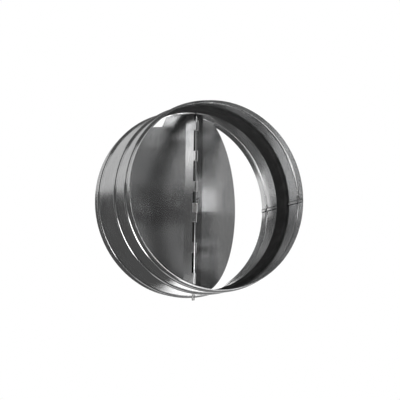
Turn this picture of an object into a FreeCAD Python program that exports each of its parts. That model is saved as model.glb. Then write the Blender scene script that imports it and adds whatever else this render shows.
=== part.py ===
# Backdraft damper for a round duct: a beaded sheet sleeve in which two half-disc
# flaps swing on one upright rod and are drawn shut against a soft seal by a coil spring.
# Frame: Y runs along the duct in the direction of flow, Z is up and along the hinge rod,
# and the origin is the centre of the inlet rim. Lengths are in millimetres, angles in degrees.

import math
import os

import FreeCAD
import Part

V = FreeCAD.Vector
ORIGIN = V(0, 0, 0)
X, Y, Z = V(1, 0, 0), V(0, 1, 0), V(0, 0, 1)
FULL_TURN, QUARTER_TURN = 360.0, 90.0

# Sleeve
sleeve_outer_radius = 99.5
sleeve_length = 97.0
sleeve_sheet = 0.6
inlet_bead_y = 10.8
middle_bead_y = 39.8
outlet_bead_setback = 11.4      # from the outlet rim
bead_height = 1.8
bead_crest_radius = 2.0         # outside of the crest
bead_root_radius = 1.5          # outside of the roots
seam_width = 3.2                # overlap of the sheet's two ends, inside the wall
seam_angle = 0.8                # centre of the seam above the +X axis

# Closing seal
seal_lead = 3.6                 # from the middle bead's centre back to the seal's inlet edge
seal_width = 19.0
seal_thickness = 3.0
seal_bond = 0.05                # glue line between the seal and the wall

# Hinge rod
rod_radius = 1.5
rod_overhang = 6.2              # beyond the sleeve's outside
rod_end_chamfer = 0.4
rod_hole_clearance = 0.05

# Flaps
flap_sheet = 0.6
flap_wall_clearance = 0.7       # to the inside of the seam
flap_end_setback = 2.6          # straight ends of the hinge edge, inside the flap's arc
seat_gap = 0.2                  # closed flap to the seal's rear edge
rest_opening = 40.6             # from closed, as photographed
strip_width = 10.4              # hinge strip, from the rod's axis to the bend
strip_bend = 10.0
strip_clearance = 0.3           # edge of the strip to the other flap's knuckles and the coil
notch_drop = 15.6               # foot of the left flap's notch, below the top of the arc
notch_inset = 36.9              # inner corner of the notch, from the rod's axis
notch_slant = 24.0
relief_drop = 5.2               # right flap's top edge beside the strip, below the strip's end
relief_rise = 3.2
relief_length = 20.4

# Knuckles
knuckle_count = 6               # on the left flap
knuckle_length = 10.0
knuckle_end_margin = 7.5        # from the hinge edge's end to the outer left knuckle
knuckle_gap = 0.4
knuckle_clearance = 0.08        # radial, on the rod
knuckle_curl = 318.0            # sweep of the rolled sheet round the rod

# Return spring
wire_radius = 0.4
coil_turns = 8
coil_turn_gap = 0.25
coil_rod_clearance = 0.35
leg_length = 30.0
leg_clearance = 0.1             # to the back of the flap

sleeve_inner_radius = sleeve_outer_radius - sleeve_sheet
outlet_bead_y = sleeve_length - outlet_bead_setback
seal_start_y = middle_bead_y - seal_lead
seal_end_y = seal_start_y + seal_width

flap_radius = sleeve_inner_radius - sleeve_sheet - flap_wall_clearance
flap_end_z = flap_radius - flap_end_setback
knuckle_bore = rod_radius + knuckle_clearance
strip_setback = math.sqrt((knuckle_bore + flap_sheet + strip_clearance) ** 2 - knuckle_bore ** 2)
knuckle_pitch = 2 * (flap_end_z - knuckle_end_margin - knuckle_length / 2) / (knuckle_count - 1)

coil_radius = rod_radius + coil_rod_clearance + wire_radius
coil_pitch = 2 * wire_radius + coil_turn_gap
coil_low_z = (knuckle_length - knuckle_pitch) / 2 + knuckle_gap
coil_high_z = coil_low_z + coil_turns * coil_pitch + 2 * wire_radius


def turned(vector, angle):
    """The vector turned about Z."""
    return FreeCAD.Rotation(Z, angle).multVec(vector)


# Middle of the flap's sheet at the bend, and the hinge axis that puts the closed flap on its seat.
strip_offset = knuckle_bore + flap_sheet / 2
bend_point = turned(V(strip_width, -strip_offset, 0), -strip_bend)
hinge_y = seal_end_y + seat_gap + flap_sheet / 2 - bend_point.y


def arc(start, end, centre, radius):
    """Shorter arc between two points about a centre."""
    middle = centre + ((start + end) / 2 - centre).normalize() * radius
    return Part.Arc(start, middle, end).toShape()


def bead_edges(y, depth):
    """Rolled bead in the meridian plane, at a depth below the wall's outer face."""
    crest, root = bead_crest_radius - depth, bead_root_radius + depth
    crest_centre = V(sleeve_outer_radius + bead_height - bead_crest_radius, y, 0)
    spread = bead_crest_radius + bead_root_radius
    half_width = math.sqrt(bead_height * (2 * spread - bead_height))
    roots = [crest_centre + V(spread - bead_height, side * half_width, 0) for side in (-1, 1)]
    feet = [V(sleeve_outer_radius - depth, root_centre.y, 0) for root_centre in roots]
    joins = [crest_centre + (root_centre - crest_centre) * (crest / spread) for root_centre in roots]
    return feet, [arc(feet[0], joins[0], roots[0], root),
                  arc(joins[0], joins[1], crest_centre, crest),
                  arc(joins[1], feet[1], roots[1], root)]


def wall_edges(depth):
    """Meridian of the wall from inlet rim to outlet rim, at a depth below its outer face."""
    edges = []
    reached = V(sleeve_outer_radius - depth, 0, 0)
    for y in (inlet_bead_y, middle_bead_y, outlet_bead_y):
        feet, bead = bead_edges(y, depth)
        edges += [Part.makeLine(reached, feet[0])] + bead
        reached = feet[1]
    end = V(reached.x, sleeve_length, 0)
    return edges + [Part.makeLine(reached, end)]


def wall_layer(outer_depth, inner_depth, sweep):
    """Sheet between two depths, revolved about the duct's axis from the +X side."""
    faces = wall_edges(outer_depth) + wall_edges(inner_depth)
    outer, inner = (sleeve_outer_radius - depth for depth in (outer_depth, inner_depth))
    rims = [Part.makeLine(V(outer, y, 0), V(inner, y, 0)) for y in (0, sleeve_length)]
    wire = Part.Wire(Part.__sortEdges__(faces + rims))
    return Part.Face(wire).revolve(ORIGIN, Y, sweep)


def make_seam():
    """Inner end of the sheet, lapped over the outer one."""
    sweep = math.degrees(seam_width / sleeve_inner_radius)
    seam = wall_layer(sleeve_sheet, 2 * sleeve_sheet, sweep)
    seam.rotate(ORIGIN, Y, -seam_angle - sweep / 2)
    return seam


def upright(radius, low_z, high_z, y):
    """Round bar along Z on the hinge axis."""
    return Part.makeCylinder(radius, high_z - low_z, V(0, y, low_z), Z)


def make_sleeve(seam):
    wall = wall_layer(0, sleeve_sheet, FULL_TURN).fuse(seam)
    reach = sleeve_outer_radius + rod_overhang
    return wall.cut(upright(rod_radius + rod_hole_clearance, -reach, reach, hinge_y)).removeSplitter()


def make_seal(seam):
    outer = sleeve_inner_radius - seal_bond
    start = V(0, seal_start_y, 0)
    ring = Part.makeCylinder(outer, seal_width, start, Y)
    ring = ring.cut(Part.makeCylinder(sleeve_inner_radius - seal_thickness, seal_width, start, Y))
    return ring.cut(seam)


def make_rod():
    reach = sleeve_outer_radius + rod_overhang
    rod = upright(rod_radius, -reach, reach, hinge_y)
    ends = [edge for edge in rod.Edges if abs(abs(edge.CenterOfMass.z) - reach) < rod_end_chamfer]
    return rod.makeChamfer(rod_end_chamfer, ends)


def left_knuckles():
    """Height spans of the left flap's knuckles, from the bottom up."""
    first = -knuckle_pitch * (knuckle_count - 1) / 2
    middles = [first + place * knuckle_pitch for place in range(knuckle_count)]
    return [(middle - knuckle_length / 2, middle + knuckle_length / 2) for middle in middles]


def right_knuckles():
    """Height spans between and beyond the left knuckles, less the room for the spring's coil."""
    taken = left_knuckles()
    lows = [-flap_end_z] + [high + knuckle_gap for low, high in taken]
    highs = [low - knuckle_gap for low, high in taken] + [flap_end_z]
    coil_middle = (coil_low_z + coil_high_z) / 2
    return [(coil_high_z + knuckle_gap, high) if low < coil_middle < high else (low, high)
            for low, high in zip(lows, highs)]


def knuckle(low_z, high_z):
    """Tongue of the strip rolled round the rod, on the side away from the inlet."""
    height = high_z - low_z
    tongue = Part.makeBox(strip_setback + flap_sheet, flap_sheet, height,
                          V(0, -knuckle_bore - flap_sheet, low_z))
    start = [V(0, -knuckle_bore, low_z), V(0, -knuckle_bore - flap_sheet, low_z)]
    end = Part.Face(Part.makePolygon(start + [place + Z * height for place in start[::-1]] + start[:1]))
    curl = end.revolve(ORIGIN, Z, -knuckle_curl)
    rolled = tongue.fuse(curl)
    rolled.rotate(ORIGIN, Z, -strip_bend)
    return rolled


def leaf_sheet():
    """Bent sheet of a closed flap: hinge strip and flat half disc, on the +X side of the rod."""
    strip_normal, body_normal = turned(Y, -strip_bend), Y
    mitre = (strip_normal + body_normal).normalize() / math.cos(math.radians(strip_bend / 2))
    inner = turned(V(strip_setback, -strip_offset, 0), -strip_bend)
    outer = V(flap_radius, bend_point.y, 0)
    half = flap_sheet / 2
    front = [inner - strip_normal * half, bend_point - mitre * half, outer - body_normal * half]
    back = [outer + body_normal * half, bend_point + mitre * half, inner + strip_normal * half]
    face = Part.Face(Part.makePolygon(front + back + front[:1]))
    face.translate(V(0, 0, -flap_end_z))
    sheet = face.extrude(V(0, 0, 2 * flap_end_z))
    disc = Part.makeCylinder(flap_radius, 2 * strip_width, V(0, -strip_width, 0), Y)
    coil_room = upright(coil_radius + wire_radius + strip_clearance,
                        coil_low_z - knuckle_gap, coil_high_z + knuckle_gap, 0)
    return sheet.common(disc).cut(coil_room)


def cut_through(flap, corners):
    """Cuts the outline of XZ corners through the flap's sheet."""
    points = [V(x, -strip_width, z) for x, z in corners]
    return flap.cut(Part.Face(Part.makePolygon(points + points[:1])).extrude(V(0, 2 * strip_width, 0)))


def relieved(flap):
    """Top edge cut back beside the strip."""
    start, top = bend_point.x, flap_end_z - relief_drop
    end = start + relief_length
    return cut_through(flap, [(start, top), (end, top + relief_rise),
                              (end, flap_radius), (start, flap_radius)])


def notched(flap):
    """Corner notch in the upper part of the arc."""
    foot = flap_radius - notch_drop
    lean = notch_drop * math.tan(math.radians(notch_slant))
    return cut_through(flap, [(notch_inset, foot), (flap_radius, foot), (flap_radius, flap_radius),
                              (notch_inset - lean, flap_radius)])


def make_right_flap():
    flap = relieved(leaf_sheet())
    flap = flap.fuse([knuckle(low, high) for low, high in right_knuckles()]).removeSplitter()
    flap.rotate(ORIGIN, Z, rest_opening)
    flap.translate(V(0, hinge_y, 0))
    return flap


def make_left_flap():
    flap = notched(leaf_sheet())
    flap = flap.fuse([knuckle(low, high) for low, high in left_knuckles()]).removeSplitter()
    flap = flap.mirror(ORIGIN, X)
    flap.rotate(ORIGIN, Z, -rest_opening)
    flap.translate(V(0, hinge_y, 0))
    return flap


def make_spring():
    """Left-handed torsion coil whose legs run out along the backs of the flaps."""
    back_y = bend_point.y + flap_sheet / 2 + leg_clearance + wire_radius
    lean = math.acos(back_y / math.hypot(coil_radius, leg_length)) - math.atan2(leg_length, coil_radius)
    leg_angle = rest_opening - math.degrees(lean)
    turns = coil_turns - 2 * leg_angle / FULL_TURN
    low, high = coil_low_z + wire_radius, coil_high_z - wire_radius
    path = Part.makeLongHelix((high - low) / turns, high - low, coil_radius, 0, True)
    path.rotate(ORIGIN, Z, QUARTER_TURN - leg_angle)
    path.translate(V(0, 0, low))
    left_start = turned(Y * coil_radius, -leg_angle) + Z * low
    right_start = turned(Y * coil_radius, leg_angle) + Z * high
    left, right = turned(-X, -leg_angle), turned(X, leg_angle)
    section = Part.Wire(Part.makeCircle(wire_radius, left_start, left))
    coil = Part.Wire(path).makePipeShell([section], True, True)
    spring = coil.fuse([Part.makeCylinder(wire_radius, leg_length, left_start, left),
                        Part.makeCylinder(wire_radius, leg_length, right_start, right)])
    spring.translate(V(0, hinge_y, 0))
    return spring


def main():
    os.makedirs("parts", exist_ok=True)
    seam = make_seam()
    nodes = {
        "sleeve": make_sleeve(seam),
        "closing_seal": make_seal(seam),
        "hinge_rod": make_rod(),
        "left_flap": make_left_flap(),
        "right_flap": make_right_flap(),
        "return_spring": make_spring(),
    }
    for name, shape in nodes.items():
        shape.exportStep("parts/" + name + ".step")


main()
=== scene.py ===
import math

import bmesh
import bpy
from mathutils import Matrix, Vector


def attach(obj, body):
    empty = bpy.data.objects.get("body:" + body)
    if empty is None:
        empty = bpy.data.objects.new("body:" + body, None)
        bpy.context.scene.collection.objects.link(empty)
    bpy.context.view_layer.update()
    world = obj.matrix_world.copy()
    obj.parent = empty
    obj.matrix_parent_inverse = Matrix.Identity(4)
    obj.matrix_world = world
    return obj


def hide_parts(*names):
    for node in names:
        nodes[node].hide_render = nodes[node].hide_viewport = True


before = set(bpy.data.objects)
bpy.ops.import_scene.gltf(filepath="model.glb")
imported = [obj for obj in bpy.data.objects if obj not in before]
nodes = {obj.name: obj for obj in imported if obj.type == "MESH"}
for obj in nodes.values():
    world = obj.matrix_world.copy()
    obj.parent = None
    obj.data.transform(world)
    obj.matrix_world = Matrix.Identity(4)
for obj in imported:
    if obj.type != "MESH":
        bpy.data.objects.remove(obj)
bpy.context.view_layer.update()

# Sizes of the sleeve and its hinge that the dressing follows, in metres
sleeve_radius = 0.0995
seam_angle = math.radians(0.8)
seam_half_width = 0.0016
# Width and fade of the painted shade lines along the lap's edges
seam_shade_reach = 0.0003
seam_shade_fade = 0.0006
hinge_y = 0.059357
knuckle_radius = 0.00218
knuckle_reach = 1.1 * knuckle_radius
curl_start = 0.3 * knuckle_radius
curl_end = 0.7 * knuckle_radius

# Weld nuggets: each one's distance from the inlet rim, and its degrees upwards from the right
weld_spots = ((0.0075, 2.4), (0.0830, 2.5), (0.0830, -0.9))
weld_radius = 0.0011
weld_height = 0.0006
weld_centre = 0.0986
weld_segments = 20
weld_rings = 12

# Return spring: its coil round the rod, and a leg behind each flap that turns with the flap
wire_radius = 0.0004
wire_sides = 12
coil_wire_radius = 0.95 * wire_radius
coil_radius = 0.00225
coil_ends_z = (-0.0107, -0.0023)
coil_turns = 8
leg_angle = math.radians(30.861)
leg_length = 0.030
quarter_turn = math.pi / 2
coil_turn = 4 * quarter_turn
coil_sweep = coil_turns * coil_turn - 2 * leg_angle
rise_per_angle = (coil_ends_z[1] - coil_ends_z[0]) / coil_sweep
coil_end_cut = 0.12 * coil_turn
steps_per_turn = 48

# Camera: below the duct axis, left of it, looking up into the inlet
camera_place = Vector((-0.76836, -1.65502, -0.27149))
camera_right = Vector((0.91029, -0.41370, 0.01527))
camera_up = Vector((-0.07336, -0.12491, 0.98945))
camera_ahead = Vector((0.40743, 0.90181, 0.14405))
camera_lens = 159.98
camera_sensor = 36.0
camera_nearest = 0.05
camera_farthest = 50.0

# Room: the floor's size, and levels of light where 1 is white
floor_height = -0.50
floor_radius = 9.0
floor_segments = 96
background_level = 1.0
fill_level = 0.45
dim_surround = 0.085
pale_surround = 0.28


# Node trees

def feed(tree, node, inputs):
    """Sets or links the node's inputs, by name, or by number as i0, i1 and so on."""
    for name, value in inputs.items():
        numbered = name[0] == "i" and name[1:].isdigit()
        socket = node.inputs[int(name[1:]) if numbered else name.replace("_", " ")]
        if isinstance(value, bpy.types.NodeSocket):
            tree.links.new(value, socket)
        else:
            socket.default_value = value


def add(tree, kind, settings=None, **inputs):
    """A node of this kind, with its settings made and its inputs fed."""
    made = tree.nodes.new(kind)
    for name, value in (settings or {}).items():
        setattr(made, name, value)
    feed(tree, made, inputs)
    return made


def math_node(tree, operation, first, second=0.0):
    return add(tree, "ShaderNodeMath", {"operation": operation}, i0=first, i1=second).outputs[0]


def weighted(tree, first, first_factor, second, second_factor):
    """The sum of two values, each times its own factor."""
    return math_node(tree, "ADD", math_node(tree, "MULTIPLY", first, first_factor),
                     math_node(tree, "MULTIPLY", second, second_factor))


def ranged(tree, value, low, high, to_low=0.0, to_high=1.0):
    """The value carried from one range to another, eased at both ends."""
    return add(tree, "ShaderNodeMapRange", {"interpolation_type": "SMOOTHSTEP"},
               i0=value, i1=low, i2=high, i3=to_low, i4=to_high).outputs[0]


def noise(tree, place, scale, detail, roughness):
    return add(tree, "ShaderNodeTexNoise", Vector=place, Scale=scale, Detail=detail,
               Roughness=roughness).outputs[0]


def mixed(tree, factor, first, second):
    """A colour between two others."""
    return add(tree, "ShaderNodeMix", {"data_type": "RGBA"}, i0=factor, i6=first, i7=second).outputs[2]


def split(tree, place):
    return add(tree, "ShaderNodeSeparateXYZ", Vector=place).outputs


def drawn_out(tree, place, share):
    """Place shortened to this share of its height, which draws a pattern out into upright lines."""
    return add(tree, "ShaderNodeMapping", Vector=place, Scale=(1.0, 1.0, share)).outputs[0]


def bumped(tree, height, strength, distance):
    return add(tree, "ShaderNodeBump", Strength=strength, Distance=distance, Height=height).outputs[0]


def grey(level, warmth=0.0):
    return (level * (1 + warmth), level, level * (1 - warmth), 1.0)


def group(name, inputs, outputs):
    """An empty shader group with these sockets; returns its tree and its two ends."""
    tree = bpy.data.node_groups.new(name, "ShaderNodeTree")
    for socket, kind in inputs:
        tree.interface.new_socket(socket, in_out="INPUT", socket_type=kind)
    for socket, kind in outputs:
        tree.interface.new_socket(socket, in_out="OUTPUT", socket_type=kind)
    return tree, tree.nodes.new("NodeGroupInput").outputs, tree.nodes.new("NodeGroupOutput")


def use(tree, made_group, **inputs):
    return add(tree, "ShaderNodeGroup", {"node_tree": made_group}, **inputs).outputs


def rolled_zinc():
    """Zinc sheet as rolled: cloudy tone, streaks along the rolling and a fine grain."""
    tree, start, end = group(
        "rolled_zinc", [("Place", "NodeSocketVector"), ("Rolling", "NodeSocketVector")],
        [("Tone", "NodeSocketColor"), ("Haze", "NodeSocketFloat"), ("Height", "NodeSocketFloat")])
    clouds = noise(tree, start["Place"], scale=38.0, detail=4.0, roughness=0.55)
    streaks = noise(tree, start["Rolling"], scale=900.0, detail=3.0, roughness=0.6)
    grain = noise(tree, start["Place"], scale=800.0, detail=2.0, roughness=0.6)
    marks = weighted(tree, streaks, 0.35, grain, 0.35)
    brightness = ranged(tree, weighted(tree, clouds, 0.3, marks, 1.0), 0.38, 0.62)
    feed(tree, end, {
        "Tone": mixed(tree, brightness, grey(0.63, warmth=-0.008), grey(0.80)),
        "Haze": ranged(tree, weighted(tree, clouds, 0.5, grain, 0.5), 0.3, 0.7),
        "Height": weighted(tree, streaks, 0.6, grain, 0.4)})
    return tree


def drawn_steel():
    """Steel drawn into rod or wire: fine lines, and patches of tarnish on the bright metal."""
    tree, start, end = group(
        "drawn_steel",
        [("Place", "NodeSocketVector"), ("Drawing", "NodeSocketVector"),
         ("Line Scale", "NodeSocketFloat"), ("Line Detail", "NodeSocketFloat"),
         ("Patch Scale", "NodeSocketFloat"),
         ("Bright", "NodeSocketColor"), ("Tarnished", "NodeSocketColor")],
        [("Tone", "NodeSocketColor"), ("Lines", "NodeSocketFloat")])
    lines = noise(tree, start["Drawing"], start["Line Scale"], start["Line Detail"], roughness=0.6)
    patches = noise(tree, start["Place"], start["Patch Scale"], detail=3.0, roughness=0.55)
    tarnish = ranged(tree, patches, 0.35, 0.7)
    feed(tree, end, {
        "Tone": mixed(tree, tarnish, start["Bright"], start["Tarnished"]),
        "Lines": lines})
    return tree


# Finishes

def material(name):
    """A new material with its tree, its shader and the place on the piece."""
    made = bpy.data.materials.new(name)
    made.use_nodes = True
    tree = made.node_tree
    shader = tree.nodes["Principled BSDF"]
    place = tree.nodes.new("ShaderNodeTexCoord").outputs["Object"]
    return made, tree, shader, place


def brushed(tree, shader, axis, amount, turn):
    """Gloss drawn out across the rolling lines, which run round this axis or along it."""
    across = add(tree, "ShaderNodeTangent", {"direction_type": "RADIAL", "axis": axis}).outputs[0]
    feed(tree, shader, {"Tangent": across, "Anisotropic": amount, "Anisotropic Rotation": turn})


def round_sleeve(tree, place, share):
    """Place unrolled from the sleeve, with this share of its length round the duct."""
    x, y, z = split(tree, place)
    angle = math_node(tree, "ARCTAN2", z, math_node(tree, "MULTIPLY", x, -1.0))
    arc = math_node(tree, "MULTIPLY", angle, sleeve_radius)
    return add(tree, "ShaderNodeCombineXYZ", X=math_node(tree, "MULTIPLY", arc, share), Y=y).outputs[0]


def seam_shade_lines(tree, place):
    """Painted shade of the gaps at the two edges of the welded lap, as a mask of thin lines along the
    duct.
    """
    x, _, z = split(tree, place)
    across = weighted(tree, z, math.cos(seam_angle), x, -math.sin(seam_angle))
    from_edge = math_node(tree, "SUBTRACT", math_node(tree, "ABSOLUTE", across), seam_half_width)
    edge = ranged(tree, math_node(tree, "ABSOLUTE", from_edge), seam_shade_reach, seam_shade_fade,
                  to_low=1.0, to_high=0.0)
    return math_node(tree, "MULTIPLY", edge, math_node(tree, "GREATER_THAN", x, 0.0))


def sleeve_finish(zinc):
    made, tree, shader, place = material("galvanised_sheet")
    sheet = use(tree, zinc, Place=place, Rolling=round_sleeve(tree, place, share=0.03))
    lines = seam_shade_lines(tree, place)
    relief = math_node(tree, "SUBTRACT", sheet["Height"], lines)
    feed(tree, shader, {
        "Metallic": 1.0,
        # The seam mask paints dark grey shade into the sheet's colour along the lap's edges
        "Base Color": mixed(tree, lines, sheet["Tone"], grey(0.10)),
        "Roughness": ranged(tree, sheet["Haze"], 0.0, 1.0, to_low=0.14, to_high=0.20),
        "Normal": bumped(tree, relief, strength=0.06, distance=0.0002)})
    brushed(tree, shader, axis="Y", amount=0.3, turn=0.25)
    return made


def knuckle_shade(tree, place, side):
    """Painted shade where a knuckle's sheet curls away from the light behind the rod; side is +1 on the
    left flap.
    """
    x, y, _ = split(tree, place)
    back = math_node(tree, "SUBTRACT", y, hinge_y)
    from_axis = math_node(tree, "SQRT", weighted(tree, x, x, back, back))
    on_knuckle = math_node(tree, "LESS_THAN", from_axis, knuckle_reach)
    turned = ranged(tree, math_node(tree, "MULTIPLY", x, side), curl_start, curl_end)
    return math_node(tree, "MULTIPLY", on_knuckle, turned)


def flap_finish(zinc, name, side):
    made, tree, shader, place = material(name)
    sheet = use(tree, zinc, Place=place, Rolling=drawn_out(tree, place, share=0.04))
    feed(tree, shader, {
        "Metallic": 1.0,
        # The knuckle mask paints near-black shade into the flap sheet's colour
        "Base Color": mixed(tree, knuckle_shade(tree, place, side), sheet["Tone"], grey(0.08)),
        "Roughness": ranged(tree, sheet["Haze"], 0.0, 1.0, to_low=0.16, to_high=0.20),
        "Normal": bumped(tree, sheet["Height"], strength=0.05, distance=0.0003)})
    brushed(tree, shader, axis="Z", amount=0.95, turn=0.0)
    return made


def seal_finish():
    made, tree, shader, place = material("black_seal")
    cells = noise(tree, place, scale=900.0, detail=3.0, roughness=0.65)
    patches = noise(tree, place, scale=90.0, detail=3.0, roughness=0.5)
    paleness = ranged(tree, weighted(tree, cells, 0.6, patches, 0.4), 0.35, 0.7)
    feed(tree, shader, {
        "Base Color": mixed(tree, paleness, grey(0.016), grey(0.042)),
        "Roughness": ranged(tree, cells, 0.3, 0.7, to_low=0.75, to_high=0.95),
        "Normal": bumped(tree, cells, strength=0.5, distance=0.0006),
        "Specular IOR Level": 0.3})
    return made


def rod_finish(steel):
    made, tree, shader, place = material("rod_steel")
    metal = use(tree, steel, Place=place, Drawing=drawn_out(tree, place, share=0.05),
                Line_Scale=2500.0, Line_Detail=3.0, Patch_Scale=160.0,
                Bright=grey(0.70), Tarnished=grey(0.48, warmth=0.02))
    feed(tree, shader, {
        "Metallic": 1.0,
        "Base Color": metal["Tone"],
        "Roughness": ranged(tree, metal["Lines"], 0.3, 0.7, to_low=0.18, to_high=0.34),
        "Normal": bumped(tree, metal["Lines"], strength=0.15, distance=0.0001)})
    return made


def spring_finish(steel):
    made, tree, shader, place = material("spring_wire")
    metal = use(tree, steel, Place=place, Drawing=place,
                Line_Scale=3500.0, Line_Detail=2.0, Patch_Scale=400.0,
                Bright=grey(0.60), Tarnished=grey(0.36, warmth=0.04))
    feed(tree, shader, {
        "Metallic": 1.0,
        "Base Color": metal["Tone"],
        "Roughness": ranged(tree, metal["Lines"], 0.3, 0.7, to_low=0.2, to_high=0.36),
        "Normal": bumped(tree, metal["Lines"], strength=0.15, distance=0.0001)})
    return made


def weld_finish():
    made, tree, shader, place = material("weld_spot")
    burnt = noise(tree, place, scale=700.0, detail=3.0, roughness=0.6)
    feed(tree, shader, {
        "Metallic": 1.0,
        "Base Color": mixed(tree, ranged(tree, burnt, 0.3, 0.7), grey(0.90), grey(0.66, warmth=0.02)),
        "Roughness": ranged(tree, burnt, 0.3, 0.7, to_low=0.25, to_high=0.4),
        "Normal": bumped(tree, burnt, strength=0.2, distance=0.0002)})
    return made


def dress(node, finish):
    node.data.materials.clear()
    node.data.materials.append(finish)


# Pieces that the solids leave to the dressing

def as_piece(mesh, name):
    """The finished mesh as an object of the scene, at the origin."""
    data = bpy.data.meshes.new(name)
    mesh.to_mesh(data)
    mesh.free()
    piece = bpy.data.objects.new(name, data)
    bpy.context.scene.collection.objects.link(piece)
    return piece


def make_weld_spots():
    """Round nuggets on the wall beside the lap, near the outer beads."""
    mesh = bmesh.new()
    for along, degrees in weld_spots:
        spot = bmesh.ops.create_uvsphere(mesh, u_segments=weld_segments, v_segments=weld_rings,
                                         radius=weld_radius)["verts"]
        bmesh.ops.scale(mesh, vec=(weld_height / weld_radius, 1.0, 1.0), verts=spot)
        bmesh.ops.translate(mesh, vec=(weld_centre, along, 0.0), verts=spot)
        turn = Matrix.Rotation(math.radians(-degrees), 3, "Y")
        bmesh.ops.rotate(mesh, cent=(0, 0, 0), matrix=turn, verts=spot)
    for face in mesh.faces:
        face.smooth = True
    return as_piece(mesh, "seam_welds")


def only(kind, geometry):
    return [part for part in geometry if isinstance(part, kind)]


def wire_start(mesh, angle, height, radius):
    """Section of the spring's wire, at this angle round the rod."""
    made = bmesh.ops.create_circle(mesh, segments=wire_sides, radius=radius)["verts"]
    bmesh.ops.rotate(mesh, cent=(0, 0, 0), matrix=Matrix.Rotation(quarter_turn, 3, "X"), verts=made)
    bmesh.ops.translate(mesh, vec=(coil_radius, 0, height), verts=made)
    bmesh.ops.rotate(mesh, cent=(0, 0, 0), matrix=Matrix.Rotation(angle, 3, "Z"), verts=made)
    bmesh.ops.translate(mesh, vec=(0, hinge_y, 0), verts=made)
    return mesh.edges[:] + made


def wound(mesh, start, angle, rise):
    """The wire drawn on round the rod by this angle; returns the section at its new end."""
    steps = round(abs(angle) / coil_turn * steps_per_turn)
    return bmesh.ops.spin(mesh, geom=start, cent=(0, hinge_y, 0), axis=(0, 0, 1),
                          dvec=(0, 0, rise / steps), angle=angle, steps=steps)["geom_last"]


def finished_wire(mesh, name):
    """The wire with its ends closed, round but for those flat ends."""
    bmesh.ops.holes_fill(mesh, edges=[edge for edge in mesh.edges if edge.is_boundary], sides=0)
    bmesh.ops.recalc_face_normals(mesh, faces=mesh.faces)
    for face in mesh.faces:
        face.smooth = len(face.verts) == 4
    return as_piece(mesh, name)


def make_coil():
    """Left-handed turns, a little thinner than the legs' wire so that their ends slip over it."""
    mesh = bmesh.new()
    height = coil_ends_z[0] + coil_end_cut * rise_per_angle
    start = wire_start(mesh, quarter_turn - leg_angle - coil_end_cut, height, coil_wire_radius)
    sweep = coil_sweep - 2 * coil_end_cut
    wound(mesh, start, -sweep, sweep * rise_per_angle)
    return finished_wire(mesh, "spring_coil")


def make_leg(name, side):
    """Last quarter of the coil and the straight leg; side is +1 for the left leg, at the coil's foot."""
    mesh = bmesh.new()
    foot = quarter_turn - side * leg_angle
    rise = side * quarter_turn * rise_per_angle
    end_z = coil_ends_z[0] if side > 0 else coil_ends_z[1]
    start = wire_start(mesh, foot - side * quarter_turn, end_z + rise, wire_radius)
    end = wound(mesh, start, side * quarter_turn, -rise)
    drawn = bmesh.ops.extrude_edge_only(mesh, edges=only(bmesh.types.BMEdge, end))["geom"]
    ahead = foot + side * quarter_turn
    reach = Vector((math.cos(ahead), math.sin(ahead), 0)) * leg_length
    bmesh.ops.translate(mesh, vec=reach, verts=only(bmesh.types.BMVert, drawn))
    return finished_wire(mesh, name)


# Room

def make_floor():
    mesh = bmesh.new()
    bmesh.ops.create_circle(mesh, cap_ends=True, segments=floor_segments, radius=floor_radius)
    bmesh.ops.translate(mesh, vec=(0, 0, floor_height), verts=mesh.verts)
    floor = as_piece(mesh, "floor")
    finish = bpy.data.materials.new("pale_floor")
    finish.use_nodes = True
    shader = finish.node_tree.nodes["Principled BSDF"]
    feed(finish.node_tree, shader, {"Base Color": grey(0.92), "Roughness": 0.9})
    dress(floor, finish)
    floor.visible_glossy = False


def glow(tree, strength):
    return add(tree, "ShaderNodeBackground", Color=grey(1.0), Strength=strength).outputs[0]


def either(tree, factor, first, second):
    """One light or the other, by the factor."""
    return add(tree, "ShaderNodeMixShader", i0=factor, i1=first, i2=second).outputs[0]


def make_room():
    """White background for the camera, a dim studio round it in the metal's mirror."""
    world = bpy.data.worlds.new("studio")
    bpy.context.scene.world = world
    world.use_nodes = True
    tree = world.node_tree
    tree.nodes.clear()
    ray = tree.nodes.new("ShaderNodeLightPath").outputs
    x, y, z = split(tree, tree.nodes.new("ShaderNodeTexCoord").outputs["Generated"])
    in_front = ranged(tree, math_node(tree, "SUBTRACT", y, x), -0.1, -0.5)
    off_level = ranged(tree, math_node(tree, "ABSOLUTE", z), 0.15, 0.5)
    surround = ranged(tree, math_node(tree, "MULTIPLY", in_front, off_level), 0.0, 1.0,
                      to_low=dim_surround, to_high=pale_surround)
    mirror = math_node(tree, "MAXIMUM", ray["Is Glossy Ray"], ray["Is Transmission Ray"])
    around = either(tree, mirror, glow(tree, fill_level), glow(tree, surround))
    whole = either(tree, ray["Is Camera Ray"], around, glow(tree, background_level))
    add(tree, "ShaderNodeOutputWorld", Surface=whole)


def make_panel(name, place, aim, along, size, level):
    """A soft panel with its length this way, which looks this white from its front."""
    data = bpy.data.lights.new(name, "AREA")
    data.shape = "RECTANGLE"
    data.size, data.size_y = size
    data.energy = level * math.pi * size[0] * size[1]
    panel = bpy.data.objects.new(name, data)
    behind = (Vector(place) - Vector(aim)).normalized()
    upright = behind.cross(Vector(along)).normalized()
    turn = Matrix((upright.cross(behind), upright, behind)).transposed()
    panel.matrix_world = Matrix.Translation(place) @ turn.to_4x4()
    bpy.context.scene.collection.objects.link(panel)


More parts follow.
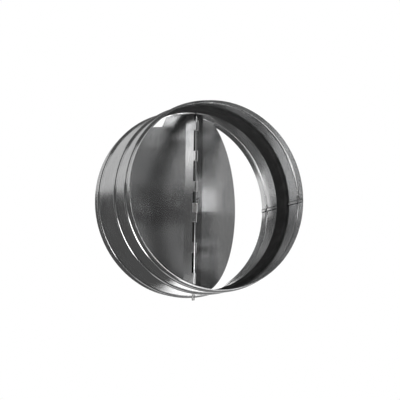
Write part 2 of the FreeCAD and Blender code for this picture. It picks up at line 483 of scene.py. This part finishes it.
def make_back_panels():
    """Panels beyond the outlet."""
    level_x = (1.0, 0.0, 0.0)
    along_right = (-0.28, 0.96, 0.0)
    make_panel("high_back", place=(-0.24, 0.65, 0.40), aim=(-0.24, 0.0, 0.40),
               along=(1.0, 0.0, 0.46), size=(1.20, 0.46), level=0.47)
    make_panel("high_left", place=(-0.70, 0.25, 0.40), aim=(0.0, 0.10, 0.20),
               along=(0.0, 1.0, 0.0), size=(0.60, 0.50), level=0.60)
    make_panel("middle_back", place=(-0.12, 0.60, 0.01), aim=(-0.12, 0.0, 0.01),
               along=level_x, size=(0.15, 0.18), level=0.85)
    make_panel("right_back", place=(0.14, 0.60, 0.07), aim=(0.14, 0.0, 0.07),
               along=level_x, size=(0.22, 0.10), level=2.00)
    make_panel("white_back", place=(0.424, 0.60, -0.248), aim=(0.424, 0.0, -0.248),
               along=(1.0, 0.0, 1.1), size=(0.70, 0.40), level=1.50)
    make_panel("low_right", place=(0.32, 0.42, -0.42), aim=(0.0, 0.06, 0.0),
               along=level_x, size=(0.42, 0.30), level=0.42)
    make_panel("right_high", place=(0.78, 0.30, 0.20), aim=(0.05, 0.09, 0.08),
               along=along_right, size=(0.30, 0.20), level=0.12)
    make_panel("right_low", place=(0.78, 0.30, 0.08), aim=(0.05, 0.09, 0.0),
               along=along_right, size=(0.30, 0.44), level=0.14)


def make_front_panels():
    """Panels in front of the inlet."""
    middle = (0.0, 0.06, 0.0)
    level_x = (1.0, 0.0, 0.0)
    along_left = (-0.75, 0.65, 0.0)
    make_panel("bead_left", place=(-0.175, -0.07, -0.11), aim=(-0.09, 0.04, -0.05),
               along=(-0.74, 0.56, 0.0), size=(0.08, 0.11), level=2.40)
    make_panel("bead_front", place=(-0.58, -0.64, -0.25), aim=(-0.05, 0.04, -0.03),
               along=(-0.77, 0.64, 0.0), size=(0.13, 0.36), level=2.20)
    make_panel("tall_left", place=(-0.36, -0.42, 0.164), aim=(0.0, 0.06, 0.164),
               along=along_left, size=(0.20, 0.055), level=1.25)
    make_panel("half_left", place=(-0.36, -0.42, 0.123), aim=(0.0, 0.06, 0.123),
               along=along_left, size=(0.20, 0.027), level=0.50)
    make_panel("short_left", place=(-0.42, -0.36, -0.17), aim=middle,
               along=(-0.65, 0.75, 0.0), size=(0.45, 0.36), level=0.10)
    make_panel("low_front", place=(-0.30, -0.60, -0.46), aim=(-0.30, -0.60, 0.0),
               along=level_x, size=(0.45, 0.36), level=2.20)
    make_panel("below", place=(-0.05, -0.18, -0.47), aim=(-0.05, -0.18, 0.0),
               along=level_x, size=(0.25, 0.25), level=0.30)
    make_panel("front", place=(0.10, -0.80, -0.150), aim=middle,
               along=level_x, size=(0.15, 0.40), level=4.80)
    make_panel("front_wide", place=(0.09, -0.80, -0.175), aim=middle,
               along=level_x, size=(0.22, 0.53), level=1.90)
    make_panel("rim_front", place=(0.345, -0.80, 0.0), aim=(0.0, 0.0, 0.0),
               along=level_x, size=(0.15, 0.15), level=1.50)


def make_camera():
    data = bpy.data.cameras.new("camera")
    data.sensor_width = camera_sensor
    data.lens = camera_lens
    data.clip_start = camera_nearest
    data.clip_end = camera_farthest
    camera = bpy.data.objects.new("camera", data)
    turn = Matrix((camera_right, camera_up, -camera_ahead)).transposed().to_4x4()
    camera.matrix_world = Matrix.Translation(camera_place) @ turn
    bpy.context.scene.collection.objects.link(camera)
    bpy.context.scene.camera = camera


zinc = rolled_zinc()
steel = drawn_steel()
dress(nodes["sleeve"], sleeve_finish(zinc))
dress(nodes["left_flap"], flap_finish(zinc, "left_flap_sheet", 1.0))
dress(nodes["right_flap"], flap_finish(zinc, "right_flap_sheet", -1.0))
dress(nodes["closing_seal"], seal_finish())
dress(nodes["hinge_rod"], rod_finish(steel))

welds = make_weld_spots()
dress(welds, weld_finish())
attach(welds, "casing")

wire = spring_finish(steel)
coil = make_coil()
left_leg = make_leg("left_spring_leg", 1)
right_leg = make_leg("right_spring_leg", -1)
for piece, body in ((coil, "casing"), (left_leg, "left_flap"), (right_leg, "right_flap")):
    dress(piece, wire)
    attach(piece, body)
    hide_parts("return_spring")

make_floor()
make_room()
make_back_panels()
make_front_panels()
make_camera()
bpy.context.scene.view_settings.view_transform = "Standard"
